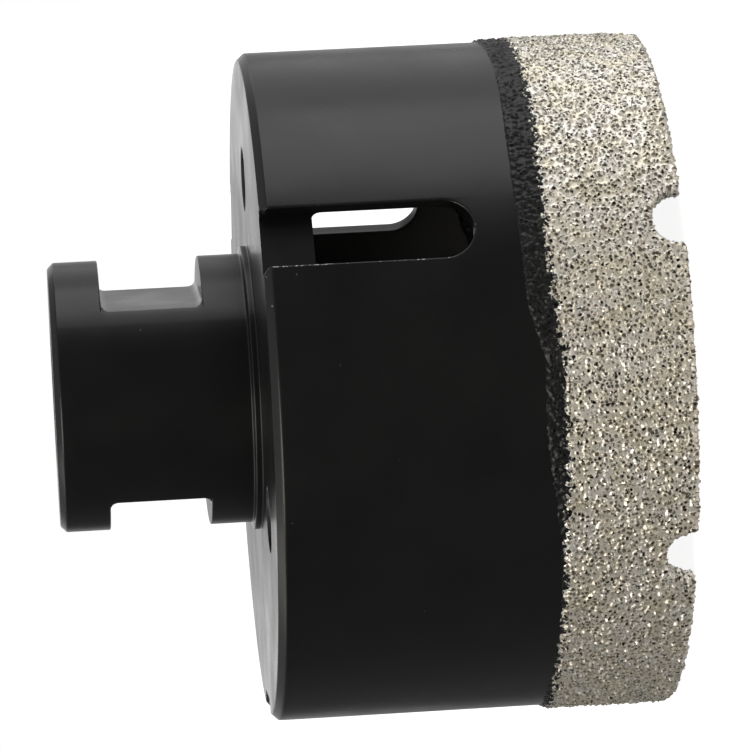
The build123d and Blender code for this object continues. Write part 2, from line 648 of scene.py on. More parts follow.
def parallel_turn(
    angle: np.ndarray, stations: list[float], outer: float, radius: np.ndarray, half: float
) -> np.ndarray:
    """Turn columns near a straight cut through the wall so that they stay parallel to it.

    A column keeps its distance from the cut's middle plane, so at a smaller radius it stands
    at a larger angle: the difference of two arcsines, which fades out away from the cut.

    Args:
        angle: the columns' compass angles at the outer radius.
        stations: compass angles of the cuts.
        outer: the radius at which the columns are spaced.
        radius: the radius of each point.
        half: half of a cut's width.

    Returns:
        The points' compass angles.
    """
    turned = angle + np.zeros_like(radius)
    for station in stations:
        off = np.clip(off_station(angle, station), -1.0, 1.0)
        side = outer * np.sin(off)
        shift = np.arcsin(np.clip(side / radius, -1.0, 1.0)) - off
        turned = turned + shift * (1 - smoothstep(half + 1.0, 3 * half, np.abs(side)))
    return turned


def ring_points(radius: np.ndarray, angle: np.ndarray, height: np.ndarray) -> np.ndarray:
    """Points from cylindrical coordinates, broadcast together."""
    radius, angle, height = np.broadcast_arrays(radius, angle, height)
    return np.stack([radius * np.cos(angle), radius * np.sin(angle), height], axis=-1)


def mesh_points(piece: bpy.types.Object) -> np.ndarray:
    """Read a piece's points.

    Args:
        piece: a mesh object at the origin.

    Returns:
        points x 3, in millimetres.
    """
    flat = np.empty(3 * len(piece.data.vertices), dtype=np.float32)
    piece.data.vertices.foreach_get("co", flat)
    return flat.reshape(-1, 3) / MM


def set_attribute(piece: bpy.types.Object, name: str, values: np.ndarray) -> None:
    """Store one number or one vector a vertex on a piece, for its material to read.

    Args:
        piece: a mesh object.
        name: the attribute's name.
        values: one number for each vertex, or vertices x 3.
    """
    vector = values.ndim == 2
    layer = piece.data.attributes.new(name, "FLOAT_VECTOR" if vector else "FLOAT", "POINT")
    layer.data.foreach_set("vector" if vector else "value", values.astype(np.float32).ravel())


class Patchwork:
    """Grids of points gathered into one mesh, whose meeting edges are then welded."""

    def __init__(self) -> None:
        """Start with no points and no faces."""
        self.points: list[np.ndarray] = []
        self.quads: list[np.ndarray] = []
        self.count = 0

    def add(self, grid: np.ndarray, closed: bool = False, keep: np.ndarray | None = None) -> None:
        """Add a grid, whose quads face along the row step crossed with the column step.

        Args:
            grid: rows x columns x 3 points, in millimetres.
            closed: whether the last row joins the first.
            keep: a mask of the grid's quads, for a grid with windows.
        """
        rows, columns, _ = grid.shape
        index = self.count + np.arange(rows * columns).reshape(rows, columns)
        if closed:
            index = np.vstack([index, index[:1]])
        quads = np.stack([index[:-1, :-1], index[1:, :-1], index[1:, 1:], index[:-1, 1:]], axis=-1)
        quads = quads.reshape(-1, 4)
        self.quads.append(quads if keep is None else quads[keep.ravel()])
        self.points.append(grid.reshape(-1, 3))
        self.count += rows * columns

    def build(
        self, name: str, finish: bpy.types.Material, weld: float = 0.0, crease: float = 180.0
    ) -> bpy.types.Object:
        """Make the piece, at the origin, smooth but for its creases.

        Args:
            name: the piece's name.
            finish: its material.
            weld: points nearer than this are joined, in millimetres; 0 joins none.
            crease: edges that turn by more than this many degrees stay sharp.

        Returns:
            The new object, linked to the scene.
        """
        points, quads = np.concatenate(self.points), np.concatenate(self.quads)
        mesh = bpy.data.meshes.new(name)
        mesh.vertices.add(len(points))
        mesh.vertices.foreach_set("co", (points * MM).astype(np.float32).ravel())
        mesh.loops.add(quads.size)
        mesh.loops.foreach_set("vertex_index", quads.astype(np.int32).ravel())
        mesh.polygons.add(len(quads))
        mesh.polygons.foreach_set("loop_start", np.arange(0, quads.size, 4, dtype=np.int32))
        mesh.polygons.foreach_set("use_smooth", np.ones(len(quads), dtype=bool))
        mesh.update(calc_edges=True)
        if weld > 0:
            self.weld(mesh, weld * MM)
        if crease < 180:
            mesh.set_sharp_from_angle(angle=math.radians(crease))
        mesh.materials.append(finish)
        piece = bpy.data.objects.new(name, mesh)
        bpy.context.collection.objects.link(piece)
        log.info("%s: %d faces", name, len(mesh.polygons))
        return piece

    @staticmethod
    def weld(mesh: bpy.types.Mesh, distance: float) -> None:
        """Join points within a distance, and drop the points that no face uses.

        Args:
            mesh: the mesh, which is changed in place.
            distance: the widest gap that is closed, in metres.
        """
        work = bmesh.new()
        work.from_mesh(mesh)
        loose = [vertex for vertex in work.verts if not vertex.link_faces]
        bmesh.ops.delete(work, geom=loose, context="VERTS")
        bmesh.ops.remove_doubles(work, verts=work.verts, dist=distance)
        work.to_mesh(mesh)
        work.free()


# ---------------------------------------------------------------- turned and milled steel


@dataclass(frozen=True)
class Mouth:
    """The barrel's wall and the gullets in its mouth. Lengths in mm, angles in degrees."""

    outer: float = 33.5
    inner: float = 32.0
    edge: float = 0.5  # height of the steel edge above the cutting edge
    gullet: float = 3.0
    gullet_angles: tuple[float, ...] = (0.0, 60.0, 120.0, 180.0, 242.3, 300.0)
    turn: float = 2.5  # of the barrel against the hub's flats

    def stations(self) -> list[float]:
        """Each gullet's compass angle in radians."""
        return compass(self.gullet_angles, self.turn)


@dataclass(frozen=True)
class Slot:
    """The round-ended cuts that clear the core. Lengths in mm, angles in degrees."""

    angles: tuple[float, ...] = (60.0, 180.0, 300.0)
    half_width: float = 3.0
    end_centre: float = 23.0  # height of the round end's centre
    floor: float = 31.2  # distance from the axis of the flat floor cut in the back plate's rim
    turn: float = 2.5

    def stations(self) -> list[float]:
        """Each slot's compass angle in radians."""
        return compass(self.angles, self.turn)


@dataclass
class Barrel:
    """Steel tube brazed round the back plate, slotted from its upper end. Lengths in mm."""

    finish: bpy.types.Material
    mouth: Mouth = Mouth()
    slot: Slot = Slot()
    top: float = 40.0
    shoulder: float = 0.7
    shoulder_blend: float = 0.10  # how softly the chamfer meets the barrel
    ease: float = 0.17  # rounding of the slots' edges by tumbling before the coating
    flare: float = 0.75  # rounding of the slots' corners at the shoulder
    flare_reach: float = 3.0  # distance from a slot at which that has died out
    rubbed: float = 0.62  # how far the slots' edges are rubbed, from 0 to 1
    rubbed_trailing: float = 0.14  # how much more on the trailing side
    rubbed_high: float = 0.22  # and how much more there at the shoulder
    rubbed_from: float = 0.14  # distance from a slot at which it starts to fade
    rubbed_to: float = 0.34  # and where it ends
    column: float = 0.9  # between plain columns
    weld: float = 0.002

    def build(self) -> bpy.types.Object:
        """Make the barrel.

        Between two slots, and under each slot, the wall is a closed loop of rows, down the
        outside and up the inside. The slots' flanks join the two.

        Returns:
            The piece.
        """
        work = Patchwork()
        half = math.asin(self.slot.half_width / self.mouth.outer)
        turn = np.linspace(-math.pi / 2, math.pi / 2, 25)
        high = self.upper_rows()[:, None]
        flank = len(high) + 1
        for start, end in stretches(self.slot.stations()):
            wide = self.wide_columns(start, end)
            rows = np.concatenate([high + 0 * wide, self.lower_rows(wide)])
            outside, inside = self.wall(wide, rows)
            work.add(np.concatenate([outside, inside[::-1]]), closed=True)
            work.add(np.stack([inside[:flank, 0], outside[:flank, 0]], axis=1))
            work.add(np.stack([outside[:flank, -1], inside[:flank, -1]], axis=1))
            narrow = start + np.arcsin(np.sin(turn) * math.sin(half))
            outside, inside = self.wall(narrow, self.lower_rows(narrow))
            work.add(np.concatenate([outside, inside[::-1]]), closed=True)
        piece = work.build("barrel_tube", self.finish, weld=self.weld, crease=50.0)
        set_attribute(piece, "edge", self.edge_wear(mesh_points(piece)))
        return piece

    def edge_wear(self, points: np.ndarray) -> np.ndarray:
        """Find how far the coating is rubbed at each point.

        It is rubbed along the slots' outer edges, most on the trailing side and towards the
        shoulder, and fades out with the distance from the edge.

        Args:
            points: points x 3, in millimetres.

        Returns:
            One number from 0 to 1 for each point.
        """
        angle, height = np.arctan2(points[:, 1], points[:, 0]), points[:, 2]
        below = np.minimum(height - self.slot.end_centre, 0.0)
        away = np.full(len(points), 99.0)
        trailing = np.zeros(len(points))
        for station in self.slot.stations():
            near = np.hypot(self.side(angle, station), below) - self.slot.half_width
            trailing = np.where(near < away, np.sin(angle - station) < 0.0, trailing)
            away = np.minimum(away, near)
        radius = np.hypot(points[:, 0], points[:, 1])
        outside = smoothstep(self.mouth.outer - 1.1, self.mouth.outer - 0.5, radius)
        more = self.rubbed_trailing + self.rubbed_high * smoothstep(self.top - 10.0, self.top - 1.0, height)
        fading = 1 - smoothstep(self.rubbed_from, self.rubbed_to, away)
        return fading * outside * (self.rubbed + trailing * more)

    def wide_columns(self, start: float, end: float) -> np.ndarray:
        """Space columns from one slot's flank to the next, closer at the flanks and gullets.

        A gullet's columns step evenly round its half-circle: its radius times a sine.

        Args:
            start: compass angle of the first slot, in radians.
            end: compass angle of the next one.

        Returns:
            The columns' compass angles.
        """
        outer = self.mouth.outer
        near = np.concatenate([edge_steps(self.ease), [0.3, 0.6]])
        flank = np.arcsin((self.slot.half_width + near) / outer)
        plain = np.linspace(start + flank[-1], end - flank[-1], int((end - start) * outer / self.column))
        turn = np.linspace(-math.pi / 2, math.pi / 2, 9)
        notch = np.arcsin(np.sin(turn) * self.mouth.gullet / outer)
        laps = [station + lap for station in self.mouth.stations() for lap in (0, 2 * math.pi)]
        notches = [lap + notch for lap in laps if start + 0.2 < lap < end - 0.2]
        kept = np.concatenate([start + flank, *notches, end - flank])
        return fill_between(kept, plain, 0.25 / outer)

    def upper_rows(self) -> np.ndarray:
        """Space rows from the barrel's upper end down to just above the round ends' centres.

        Returns:
            The rows' heights.
        """
        shoulder = self.top - self.shoulder
        offsets = np.array([0.15, 0.07, 0.0, -0.07, -0.2])
        fine = [*(self.top - np.array([0.0, 0.02, 0.07, 0.16, 0.28, 0.42])), *(shoulder + offsets)]
        return np.concatenate([fine, np.linspace(shoulder - 0.8, self.slot.end_centre, 17)[:-1]])

    def lower_rows(self, angle: np.ndarray) -> np.ndarray:
        """Space rows from the slots' lower outline down to the mouth's, for each column.

        Args:
            angle: the columns' compass angles.

        Returns:
            rows x columns heights.
        """
        start = np.full(len(angle), self.slot.end_centre)
        end = np.full(len(angle), self.mouth.edge)
        for station in self.mouth.stations():
            side = self.side(angle, station)
            end = np.maximum(end, self.mouth.edge + self.arch(side, self.mouth.gullet))
        for station in self.slot.stations():
            drop = self.arch(self.side(angle, station), self.slot.half_width)
            start = np.minimum(start, self.slot.end_centre - drop)
        near = np.concatenate([edge_steps(self.ease), [0.3, 0.6, 1.2]])[:, None]
        rest = np.linspace(0.0, 1.0, 12)[1:, None]
        top = start - near
        return np.concatenate([top, top[-1] + (end - top[-1]) * rest])

    def side(self, angle: np.ndarray, station: float) -> np.ndarray:
        """Distance of columns from a cut's middle plane, large on the barrel's far side."""
        off = angle - station
        return np.where(np.cos(off) > 0, self.mouth.outer * np.abs(np.sin(off)), 99.0)

    @staticmethod
    def arch(side: np.ndarray, radius: float) -> np.ndarray:
        """Height of a half-round above its centre at a distance to its side."""
        return np.sqrt(np.clip(radius**2 - side**2, 0.0, None))

    def wall(self, angle: np.ndarray, height: np.ndarray) -> tuple[np.ndarray, np.ndarray]:
        """The outer and inner surfaces over the same rows and columns.

        The radius falls back along the shoulder's chamfer and, by a quarter circle, at the
        slots' edges.

        Args:
            angle: compass angle of each column.
            height: rows x columns heights.

        Returns:
            Outer and inner points, rows x columns x 3.
        """
        mouth, slot = self.mouth, self.slot
        away = np.full(height.shape, 99.0)
        below = np.minimum(height - slot.end_centre, 0.0)
        for station in slot.stations():
            away = np.minimum(away, np.hypot(self.side(angle, station), below) - slot.half_width)
        over = height - (self.top - self.shoulder)
        chamfer = (over + np.sqrt(over**2 + self.shoulder_blend**2)) / 2
        outer = mouth.outer - chamfer - eased(away, self.ease)
        inner = mouth.inner + eased(away, self.ease) * smoothstep(self.top, self.top - 6.0, height)
        turned = parallel_turn(angle, mouth.stations(), mouth.outer, outer, mouth.gullet)
        shifted = parallel_turn(angle, mouth.stations(), mouth.outer, inner, mouth.gullet)
        spread = self.spread(angle, height)
        return ring_points(outer, turned + spread, height), ring_points(inner, shifted + spread, height)

    def spread(self, angle: np.ndarray, height: np.ndarray) -> np.ndarray:
        """Find how far columns turn away from a slot to round its corners at the shoulder.

        The turn is a quarter circle's bow at the slot's edge and fades out away from it.

        Args:
            angle: the columns' compass angles.
            height: rows x columns heights.

        Returns:
            rows x columns angles, to be added to the columns'.
        """
        bow = eased(self.top - height, self.flare) / self.mouth.outer
        turn = np.zeros(height.shape)
        for station in self.slot.stations():
            off = off_station(angle, station)
            aside = np.abs(off) * self.mouth.outer - self.slot.half_width
            turn += np.sign(off) * bow * smoothstep(self.flare_reach, 0.0, aside)
        return turn


@dataclass
class JointFillet:
    """Brazing metal left in the corner under the back plate, cut through by the slots.

    It is a hollow quarter ellipse from the plate's underside to the barrel, coated over.
    Lengths in mm.
    """

    finish: bpy.types.Material
    slot: Slot = Slot()
    wall: float = 32.0
    underside: float = 35.0
    width: float = 1.0
    depth: float = 0.65
    buried: float = 0.15  # how far its back lies inside the steel
    gap: float = 0.03  # how far its ends stand back from a slot's flank

    def build(self) -> bpy.types.Object:
        """Make the fillet's three stretches, closed at their ends.

        Returns:
            The piece.
        """
        work = Patchwork()
        turn = np.linspace(0.0, math.pi / 2, 9)
        foot = self.wall - self.width
        radius = np.concatenate([foot + self.width * np.sin(turn), [self.wall + self.buried] * 2, [foot]])
        level = self.underside - self.depth
        high = self.underside + self.buried
        height = np.concatenate([level + self.depth * np.cos(turn), [level, high, high]])
        half = math.asin((self.slot.half_width + self.gap) / self.wall)
        for start, end in stretches(self.slot.stations()):
            ring = ring_points(radius[:, None], np.linspace(start + half, end - half, 61), height[:, None])
            work.add(ring, closed=True)
            # Both ends fan out from the corner that is buried in the steel.
            corner = np.broadcast_to(ring[-2:-1], ring.shape)
            work.add(np.stack([ring[:, 0], corner[:, 0]]))
            work.add(np.stack([corner[:, -1], ring[:, -1]]))
        return work.build("joint_fillet", self.finish, weld=0.002, crease=50.0)


@dataclass
class Arbor:
    """Threaded hub and back plate, turned in one piece, with milled flats. Lengths in mm."""

    finish: bpy.types.Material
    slot: Slot = Slot()
    plate: float = 32.0
    underside: float = 35.0
    face: float = 40.0
    top: float = 60.0
    hub: float = 13.5
    chamfer: float = 0.6
    collar: float = 14.25  # radius of the low collar at the hub's foot
    collar_high: float = 0.68  # height of its edge above the plate's face
    flats_low: float = 45.0
    flats_high: float = 55.0
    flat: float = 9.5  # each flat's distance from the axis
    cutter_corner: float = 0.8
    vent: float = 3.0
    vent_circle: float = 21.0
    vent_angles: tuple[float, ...] = (0.0, 120.0, 240.0)
    vent_chamfer: float = 0.3
    window: float = 12.5  # half-angle of the face's patch round a vent, in degrees
    window_inner: float = 16.0
    window_outer: float = 26.0
    pitch: float = 2.0
    thread_minor: float = 6.0  # radii of the thread's crests and roots
    thread_major: float = 7.0
    countersink: float = 7.1
    ease: float = 0.13  # rounding of turned and milled edges
    column: float = 2.5  # degrees between plain columns
    weld: float = 0.002

    def build(self) -> bpy.types.Object:
        """Make the arbor.

        A sheet of rows runs out over the hub's end, down the hub, out over the plate and in
        under it. The bore's rows climb with the thread and close it.

        Returns:
            The piece.
        """
        work = Patchwork()
        angle = self.columns()
        radius, height, over, under = self.rows(angle)
        grid = ring_points(radius, angle, height)
        keep = np.ones((grid.shape[0] - 1, grid.shape[1] - 1), dtype=bool)
        for degrees in self.vent_angles:
            off = off_station(angle[:-1], math.radians(degrees))
            inside = np.flatnonzero(np.abs(off) < math.radians(self.window) + 1e-6)
            inside = inside[np.argsort(off[inside])]
            for low, high in (over, under):
                keep[low:high, inside[:-1]] = False
            work.add(self.vent_loop(grid, inside, over, under, math.radians(degrees)))
        work.add(grid, keep=keep)
        work.add(self.bore(angle))
        return work.build("arbor_turned", self.finish, weld=self.weld, crease=50.0)

    def columns(self) -> np.ndarray:
        """Space columns once round, closer at the flats' ends and the slots.

        Returns:
            The columns' compass angles, the first one again at the end.
        """
        corner = math.acos(self.flat / self.hub)
        near = np.radians([-1.2, -0.5, -0.2, 0.0, 0.2, 0.5, 1.2])
        ends = [base + sign * corner + near for base in (0.0, math.pi) for sign in (-1, 1)]
        half = math.asin(self.slot.half_width / self.plate)
        cut = np.array([-half - 3e-4, -half, 0.0, half, half + 3e-4])
        kept = np.concatenate([*ends, *[station + cut for station in self.slot.stations()]]) % (2 * math.pi)
        once = fill_between(kept, np.radians(np.arange(0.0, 360.0, self.column)), math.radians(0.15))
        return np.append(once, once[0] + 2 * math.pi)

    def rows(self, angle: np.ndarray) -> tuple[np.ndarray, np.ndarray, tuple[int, int], tuple[int, int]]:
        """The sheet of rows over everything but the bore.

        Args:
            angle: compass angle of each column.

        Returns:
            Radius and height, rows x columns, then the first and last row of the vents'
            windows on the plate's face and on its underside.
        """
        hub, face, low = self.hub, self.face, self.underside
        head = round_corners(
            [
                (self.countersink, self.top),
                (hub - self.chamfer, self.top),
                (hub, self.top - self.chamfer),
                (hub, self.flats_high + 0.3),
            ],
            self.ease,
        )
        line = [(self.window_inner, face), (self.window_outer, face)]
        rim = [(self.window_outer, face), (self.plate - 0.2, face), (self.plate, face), (self.plate, low)]
        patch = subdivide(np.array(line), 1.7)
        stem = round_corners(
            [
                (hub, self.flats_low - 0.3),
                (hub, face + self.collar_high + 0.12),
                (self.collar, face + self.collar_high),
                (self.collar, face),
                line[0],
            ],
            self.ease,
        )
        parts = [
            subdivide(head, 1.5),
            *self.groove(angle),
            subdivide(stem, 0.12)[:-1],
            patch,
            subdivide(np.array(rim), 2.0)[1:],
            subdivide(np.array([(self.plate, low), (self.window_outer, low)]), 3.0)[1:-1],
            np.stack([patch[::-1, 0], np.full(len(patch), low)], axis=-1),
            subdivide(np.array([(self.window_inner, low), (self.countersink, low)]), 3.0)[1:],
        ]
        spread = [part if part.ndim == 3 else part[:, None] + np.zeros((1, len(angle), 1)) for part in parts]
        counts = np.cumsum([len(part) for part in spread])
        radius, height = np.moveaxis(np.concatenate(spread), -1, 0)
        for station in self.slot.stations():
            off = np.abs(off_station(angle, station))
            inside = off < math.asin(self.slot.half_width / self.plate) + 1e-5
            radius = np.where(inside, np.minimum(radius, self.slot.floor / np.cos(off)), radius)
        last = len(patch) - 1
        return radius, height, (counts[3], counts[3] + last), (counts[6], counts[6] + last)

    def groove(self, angle: np.ndarray) -> tuple[np.ndarray, np.ndarray]:
        """Rows over the spanner flats, in two halves.

        From the upper land the surface rounds over the land's edge by a quarter circle, runs
        in along a level shelf, and turns by the cutter's quarter circle down to the flat. A
        row at a distance from the axis's plane meets a column at that distance / cos(angle),
        and the hub's own radius limits it. The lower half mirrors the upper one.

        Args:
            angle: compass angle of each column.

        Returns:
            Upper and lower halves, rows x columns x (radius, height).
        """
        cosine = np.maximum(np.abs(np.cos(angle)), 1e-3)
        reach = np.clip((self.hub - self.flat / cosine) / self.ease, 0.0, 1.0)
        turn = np.linspace(0.0, math.pi / 2, 5)[:, None]
        edge = self.hub - self.ease * (1 - np.cos(turn)) * reach
        edge_height = self.ease * (1 - np.sin(turn)) + 0 * edge
        deep = self.flat + self.cutter_corner
        shelf = np.linspace(self.hub - self.ease, deep, 4)[1:, None]
        corner = np.linspace(0.0, math.pi / 2, 7)[1:, None]
        run = np.linspace(self.cutter_corner, (self.flats_high - self.flats_low) / 2, 4)[1:, None]
        distance = np.concatenate([shelf, deep - self.cutter_corner * np.sin(corner), self.flat + 0 * run])
        depth = np.concatenate([0 * shelf, self.cutter_corner * (1 - np.cos(corner)), run])
        cut = soft_min(np.full(len(angle), self.hub), distance / cosine, self.ease)
        cut = np.minimum(cut, edge[-1])
        radius = np.concatenate([edge, cut])
        height = np.concatenate([edge_height, -depth + 0 * cut])
        upper = np.stack([radius, self.flats_high + height], axis=-1)
        lower = np.stack([radius, self.flats_low - height], axis=-1)
        return upper, lower[-2::-1]

    def vent_loop(
        self,
        grid: np.ndarray,
        inside: np.ndarray,
        over: tuple[int, int],
        under: tuple[int, int],
        station: float,
    ) -> np.ndarray:
        """Rings from the window's border on the face, down the vent, to the one underneath.

        Each ring is a circle whose points keep the border's bearings from the vent's centre,
        and the rings next to a border blend into its outline.

        Args:
            grid: the plate's points.
            inside: the window's columns in order.
            over: the window's inner and outer row on the face.
            under: its outer and inner row on the underside.
            station: the vent's compass angle.

        Returns:
            rings x points x 3.
        """
        face_border = self.border(grid, inside, *over)
        under_border = self.border(grid, inside, under[1], under[0])
        centre = self.vent_circle * np.array([math.cos(station), math.sin(station)])
        bearing = np.arctan2(face_border[:, 1] - centre[1], face_border[:, 0] - centre[0])
        wide = self.vent + self.vent_chamfer
        profile = round_corners(
            [
                (wide + 0.6, self.face),
                (wide, self.face),
                (self.vent, self.face - self.vent_chamfer),
                (self.vent, self.underside + self.vent_chamfer),
                (wide, self.underside),
                (wide + 0.6, self.underside),
            ],
            0.08,
            count=3,
        )
        rings = ring_points(profile[:, :1], bearing, profile[:, 1:]) + np.append(centre, 0.0)
        first = [face_border + (rings[0] - face_border) * share for share in (0.0, 0.35, 0.7)]
        last = [under_border + (rings[-1] - under_border) * share for share in (0.7, 0.35, 0.0)]
        loop = np.stack([*first, *rings, *last])
        return np.concatenate([loop, loop[:, :1]], axis=1)

    @staticmethod
    def border(grid: np.ndarray, inside: np.ndarray, inner: int, outer: int) -> np.ndarray:
        """Walk a window's border: along its inner row, out, back along its outer row, and in.

        Args:
            grid: the plate's points.
            inside: the window's columns in order.
            inner: the window's inner row.
            outer: its outer row.

        Returns:
            points x 3.
        """
        step = 1 if outer > inner else -1
        between = np.arange(inner + step, outer, step)
        return np.concatenate(
            [
                grid[inner, inside],
                grid[between, inside[-1]],
                grid[outer, inside[::-1]],
                grid[between[::-1], inside[0]],
            ]
        )

    def bore(self, angle: np.ndarray) -> np.ndarray:
        """The threaded hole, from the underside up to the hub's end.

        A row keeps its place on the thread's profile and climbs one pitch in a turn, which
        makes the thread right-handed. The profile is a 60 degree V, flat for a quarter of
        the pitch at its crest and an eighth at its root. At both ends the countersink's
        cone is wider than the thread and wins.

        Args:
            angle: compass angle of each column.

        Returns:
            rows x columns x 3 points.
        """
        marks = np.array([0.0, 0.11, 0.14, 0.425, 0.45, 0.55, 0.575, 0.86, 0.89])
        turns = np.arange(-1, math.ceil((self.top - self.underside) / self.pitch) + 1)
        start = (turns[:, None] + marks).reshape(-1, 1)
        climb = (angle - angle[0]) / (2 * math.pi)
        height = np.clip(self.underside + self.pitch * (start + climb), self.underside, self.top)
        phase = ((height - self.underside) / self.pitch - climb) % 1.0
        depth = np.clip((0.375 - np.abs(phase - 0.5)) / 0.3125, 0.0, 1.0)
        groove = self.thread_minor + (self.thread_major - self.thread_minor) * depth
        cone = self.countersink - np.minimum(self.top - height, height - self.underside)
        return ring_points(np.maximum(groove, cone), angle, height)


# ---------------------------------------------------------------- diamond grit


def cell_chance(cell: np.ndarray) -> np.ndarray:
    """Draw three random numbers for each cell, the same ones as the Voronoi texture draws.

    They place and size each grain, so that the mesh's grains lie under the material's. The
    numbers are Jenkins hashes of the cell's three coordinates, alone and with 1 and 2 added
    as a fourth.

    Args:
        cell: cells x 3 whole numbers.

    Returns:
        cells x 3 numbers from 0 to 1.
    """
    keys = cell.astype(np.float32).view(np.uint32)

    def roll(value: np.ndarray, bits: int) -> np.ndarray:
        """Rotate 32 bits to the left."""
        return (value << np.uint32(bits)) | (value >> np.uint32(32 - bits))

    def start(length: int) -> list[np.ndarray]:
        """The hash's three words, with the keys added."""
        first = np.uint32((0xDEADBEEF + 4 * length + 13) & 0xFFFFFFFF)
        return [first + keys[:, axis] for axis in range(3)]

    def close(words: list[np.ndarray]) -> np.ndarray:
        """Stir the three words for the last time and take one."""
        for step, bits in enumerate((14, 11, 25, 16, 4, 14, 24)):
            into, by = (2 - step * 2) % 3, (1 - step * 2) % 3
            words[into] = (words[into] ^ words[by]) - roll(words[by], bits)
        return words[2]

    results = [close(start(3))]
    for extra in (1.0, 2.0):
        words = start(4)
        for step, bits in enumerate((4, 6, 8, 16, 19, 4)):
            into, by, other = step % 3, (step + 2) % 3, (step + 1) % 3
            words[into] = (words[into] - words[by]) ^ roll(words[by], bits)
            words[by] = words[by] + words[other]
        words[0] = words[0] + np.float32(extra).view(np.uint32)
        results.append(close(words))
    return np.stack(results, axis=-1) / 0xFFFFFFFF


def round_lumps(points: np.ndarray, spacing: float) -> np.ndarray:
    """Round heaps of random sizes on a jittered lattice, from 0 between them to 1 on top.

    Args:
        points: points x 3.
        spacing: distance between the lattice's points.

    Returns:
        One number for each point.
    """
    home = np.floor(points / spacing).astype(int)
    height = np.zeros(len(points))
    for step in np.stack(np.meshgrid(*[(-1, 0, 1)] * 3, indexing="ij"), axis=-1).reshape(-1, 3):
        chance = cell_chance(home + step)
        centre = (home + step + chance) * spacing
        away = np.linalg.norm(points - centre, axis=-1) / (spacing * (0.35 + 0.35 * chance[:, 0]))
        height = np.maximum(height, 1.0 - away**2)
    return height


@dataclass(frozen=True)
class Grains:
    """Diamonds strewn one deep: a jittered lattice, thinned to a skin over the steel.

    Each grain is a cube with its corners cut off, turned at random. Lengths in millimetres.
    """

    smallest: float = 0.11  # half of a grain across its cube faces
    largest: float = 0.22
    skin: float = 0.05  # height above the steel of the sheet that the lattice is cut by
    corner: float = 1.62  # where the corner faces cut, against 1 for the cube faces
    turns: int = 96  # different ways that a grain is turned
    seed: int = 11

    def axes(self) -> np.ndarray:
        """Draw the ways that a grain may be turned.

        Returns:
            turns x 3 x 3, each one's three axes.
        """
        draw = np.random.default_rng(self.seed)
        axes, _ = np.linalg.qr(draw.normal(size=(self.turns, 3, 3)))
        return axes


